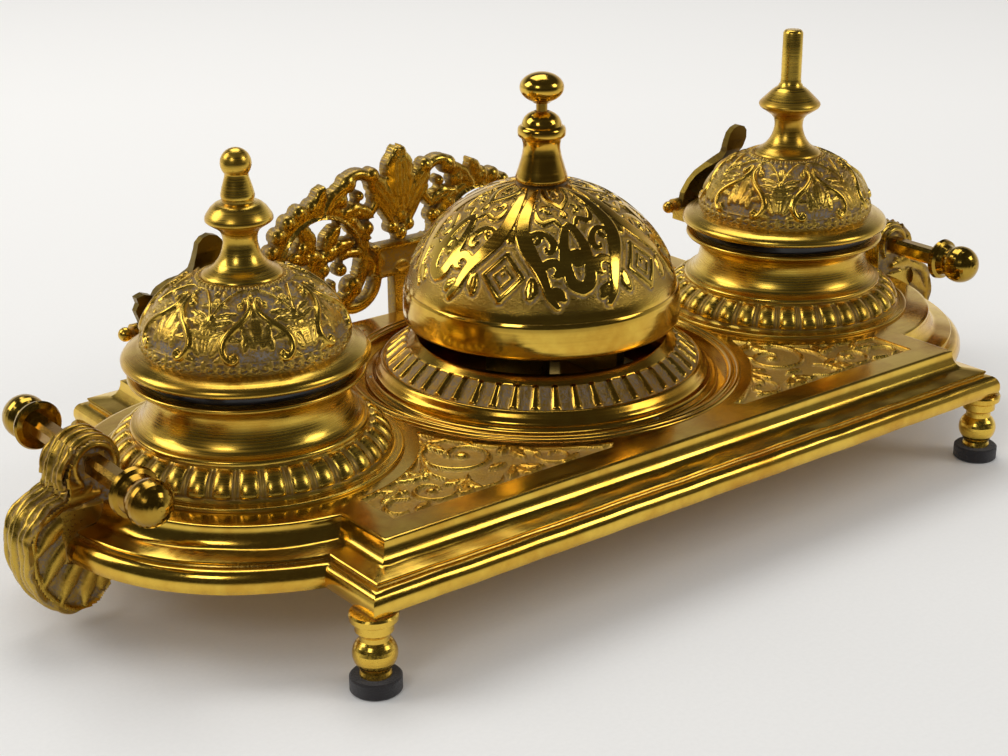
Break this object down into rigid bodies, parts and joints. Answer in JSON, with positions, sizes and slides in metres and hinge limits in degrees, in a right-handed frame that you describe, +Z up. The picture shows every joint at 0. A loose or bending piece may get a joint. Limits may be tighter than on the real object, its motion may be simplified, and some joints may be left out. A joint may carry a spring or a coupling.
{
  "type": "desk inkstand",
  "caption": "Cast brass desk inkstand with two hinged-lid ink wells, a central press bell, scrolled end handles, turned feet and a pierced rear gallery.",
  "frame": {"origin": "under the middle of the plate, on the surface that the felt pads stand on", "axes": "+X along the plate towards the right ink well, +Y to the gallery at the back, +Z up"},
  "size_m": [0.301, 0.1446, 0.1104],
  "materials": {
    "plate_brass": "hand polished casting, brushed, with grey polish residue in the grooves",
    "cast_brass": "polished relief casting with grey polish residue in the recesses",
    "turned_brass": "polished turning",
    "dark_brass": "tarnished, brushed",
    "steel": "plain machined",
    "felt": "black felt",
    "dark_glass": "dark pressed glass"
  },
  "bodies": {
    "stand": {"base_plate": "plate_brass", "front_left_foot": "turned_brass", "front_right_foot": "turned_brass", "rear_left_foot": "turned_brass", "rear_right_foot": "turned_brass", "front_left_pad": "felt", "front_right_pad": "felt", "rear_left_pad": "felt", "rear_right_pad": "felt", "left_collar": "cast_brass", "right_collar": "cast_brass", "left_well": "turned_brass", "right_well": "turned_brass", "well_screws": "steel", "left_ink_pot": "dark_glass", "right_ink_pot": "dark_glass", "left_hinge_pin": "turned_brass", "right_hinge_pin": "turned_brass", "bell_ring": "cast_brass", "bell_ring_screws": "steel", "bell_bridge": "turned_brass", "bridge_screws": "steel", "bell_post": "turned_brass", "bell": "cast_brass", "bell_column": "turned_brass", "return_spring": "steel", "striker_pin": "steel", "left_bracket": "cast_brass", "right_bracket": "cast_brass", "bracket_screws": "steel", "left_handle_bar": "turned_brass", "right_handle_bar": "turned_brass", "left_handle_knobs": "turned_brass", "right_handle_knobs": "turned_brass", "rear_gallery": "cast_brass", "gallery_screws": "steel"},
    "left_cover": {"left_lid": "cast_brass", "left_lid_leaf": "dark_brass", "left_finial": "turned_brass", "left_finial_nut": "steel"},
    "right_cover": {"right_lid": "cast_brass", "right_lid_leaf": "dark_brass", "right_finial": "turned_brass", "right_finial_nut": "steel"},
    "plunger": {"push_rod": "steel", "push_knob": "turned_brass", "rod_nut": "steel"},
    "striker": {"striker_lever": "dark_brass", "striker_hammer": "turned_brass"}
  },
  "joints": [
    {"name": "left_lid_hinge", "type": "hinge", "parent": "stand", "child": "left_cover", "pos_m": [-0.09, 0.0335, 0.0541], "axis": [-1, 0, 0], "range_deg": [0, 100]},
    {"name": "right_lid_hinge", "type": "hinge", "parent": "stand", "child": "right_cover", "pos_m": [0.09, 0.0335, 0.0541], "axis": [-1, 0, 0], "range_deg": [0, 100]},
    {"name": "knob_press", "type": "slide", "parent": "stand", "child": "plunger", "axis": [0, 0, -1], "range_m": [0, 0.002], "stiffness_N_per_m": 400, "springref_m": -0.004, "deforming": ["return_spring"]},
    {"name": "striker_swing", "type": "hinge", "parent": "stand", "child": "striker", "pos_m": [0, -0.012, 0.0431], "axis": [-1, 0, 0], "range_deg": [0, 8.9]}
  ],
  "couplings": [
    {"joint": "striker_swing", "follows": "knob_press", "rad_per_m": 76.923}
  ]
}
